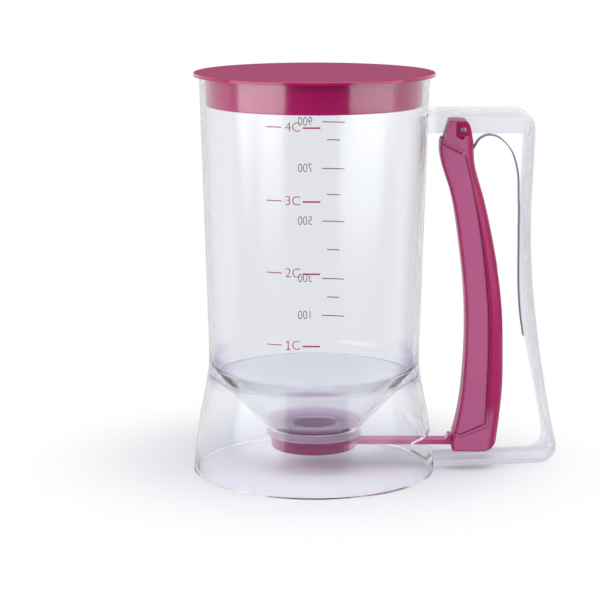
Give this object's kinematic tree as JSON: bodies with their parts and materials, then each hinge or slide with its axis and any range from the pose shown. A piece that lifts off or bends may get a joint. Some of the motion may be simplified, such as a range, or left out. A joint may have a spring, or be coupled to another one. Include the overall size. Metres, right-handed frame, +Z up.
{
  "type": "pancake batter dispenser",
  "caption": "Clear waisted jug with funnel floor and sliding bottom valve, worked by a sprung trigger hung in its T-section handle, with a flat plug lid.",
  "frame": {"origin": "on the jug's axis, in the plane of the base ring that it stands on", "axes": "+Z up along the jug's axis, +X out through the handle, the trigger swings in the XZ plane"},
  "size_m": [0.1676, 0.1116, 0.184],
  "materials": {
    "clear_plastic": "clear gloss",
    "lid_plastic": "satin",
    "lever_plastic": "gloss",
    "grip_plastic": "soft satin",
    "pin_steel": "drawn",
    "spring_steel": "rolled strip",
    "slide_plastic": "gloss",
    "cap_plastic": "gloss",
    "seal_rubber": "matt silicone"
  },
  "bodies": {
    "jug_body": {"jug": "clear_plastic", "valve_cap": "cap_plastic", "valve_seal": "seal_rubber", "return_spring": "spring_steel"},
    "lid_body": {"lid": "lid_plastic"},
    "trigger": {"trigger_lever": "lever_plastic", "trigger_grip": "grip_plastic", "pivot_pin": "pin_steel"},
    "valve": {"valve_slide": "slide_plastic"}
  },
  "joints": [
    {"name": "trigger_swing", "type": "hinge", "parent": "jug_body", "child": "trigger", "pos_m": [0.0671, 0, 0.1584], "axis": [0, -1, 0], "range_deg": [0, 7.1], "stiffness_Nm_per_rad": 1.6, "springref_deg": -6.88, "deforming": ["return_spring"]},
    {"name": "valve_travel", "type": "slide", "parent": "jug_body", "child": "valve", "axis": [1, 0, 0], "range_m": [0, 0.01821]},
    {"name": "lid_lift", "type": "slide", "parent": "jug_body", "child": "lid_body", "axis": [0, 0, 1], "range_m": [0, 0.03]}
  ],
  "couplings": [
    {"joint": "valve_travel", "follows": "trigger_swing", "m_per_rad": 0.14533}
  ]
}
